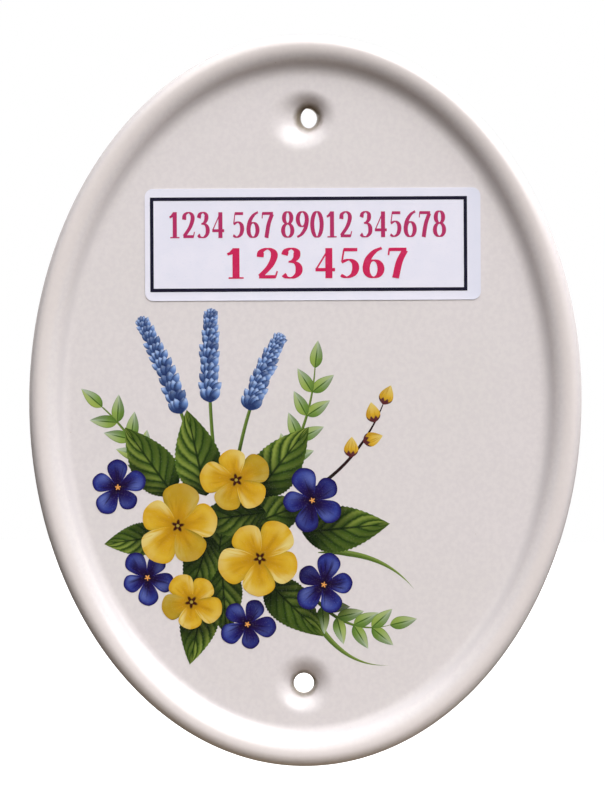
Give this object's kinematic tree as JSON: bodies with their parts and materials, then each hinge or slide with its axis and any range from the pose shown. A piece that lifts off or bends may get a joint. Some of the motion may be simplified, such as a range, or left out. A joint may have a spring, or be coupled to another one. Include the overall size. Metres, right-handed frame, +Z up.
{
  "type": "house number plaque",
  "caption": "Oval glazed ceramic house number plaque with a rolled rim, screw holes top and bottom, a fired posy of flowers and a stuck-on paper label for the number.",
  "frame": {"origin": "middle of the flat back, where it meets the wall, halfway between the two screw holes", "axes": "+Z up along the oval's long axis, +X to the right as the plaque is read, front towards -Y, back face at Y = 0"},
  "size_m": [0.136, 0.0105, 0.18],
  "materials": {
    "glaze": "gloss white glaze, bare biscuit on the back",
    "label_paper": "coated white paper",
    "label_ink": "printed ink",
    "stem_green": "fired transfer colour",
    "light_leaf_green": "fired transfer colour",
    "spike_blue": "fired transfer colour",
    "bud_yellow": "fired transfer colour",
    "broad_leaf_green": "fired transfer colour",
    "flower_blue": "fired transfer colour",
    "flower_yellow": "fired transfer colour",
    "flower_eye": "fired transfer colour"
  },
  "bodies": {
    "root": {"plaque": "glaze", "paper_label": "label_paper", "label_border": "label_ink", "transfer_stems": "stem_green", "transfer_light_leaves": "light_leaf_green", "transfer_blue_spikes": "spike_blue", "transfer_yellow_buds": "bud_yellow", "transfer_broad_leaves": "broad_leaf_green", "transfer_blue_flowers": "flower_blue", "transfer_yellow_flowers": "flower_yellow", "transfer_flower_eyes": "flower_eye"}
  },
  "joints": []
}
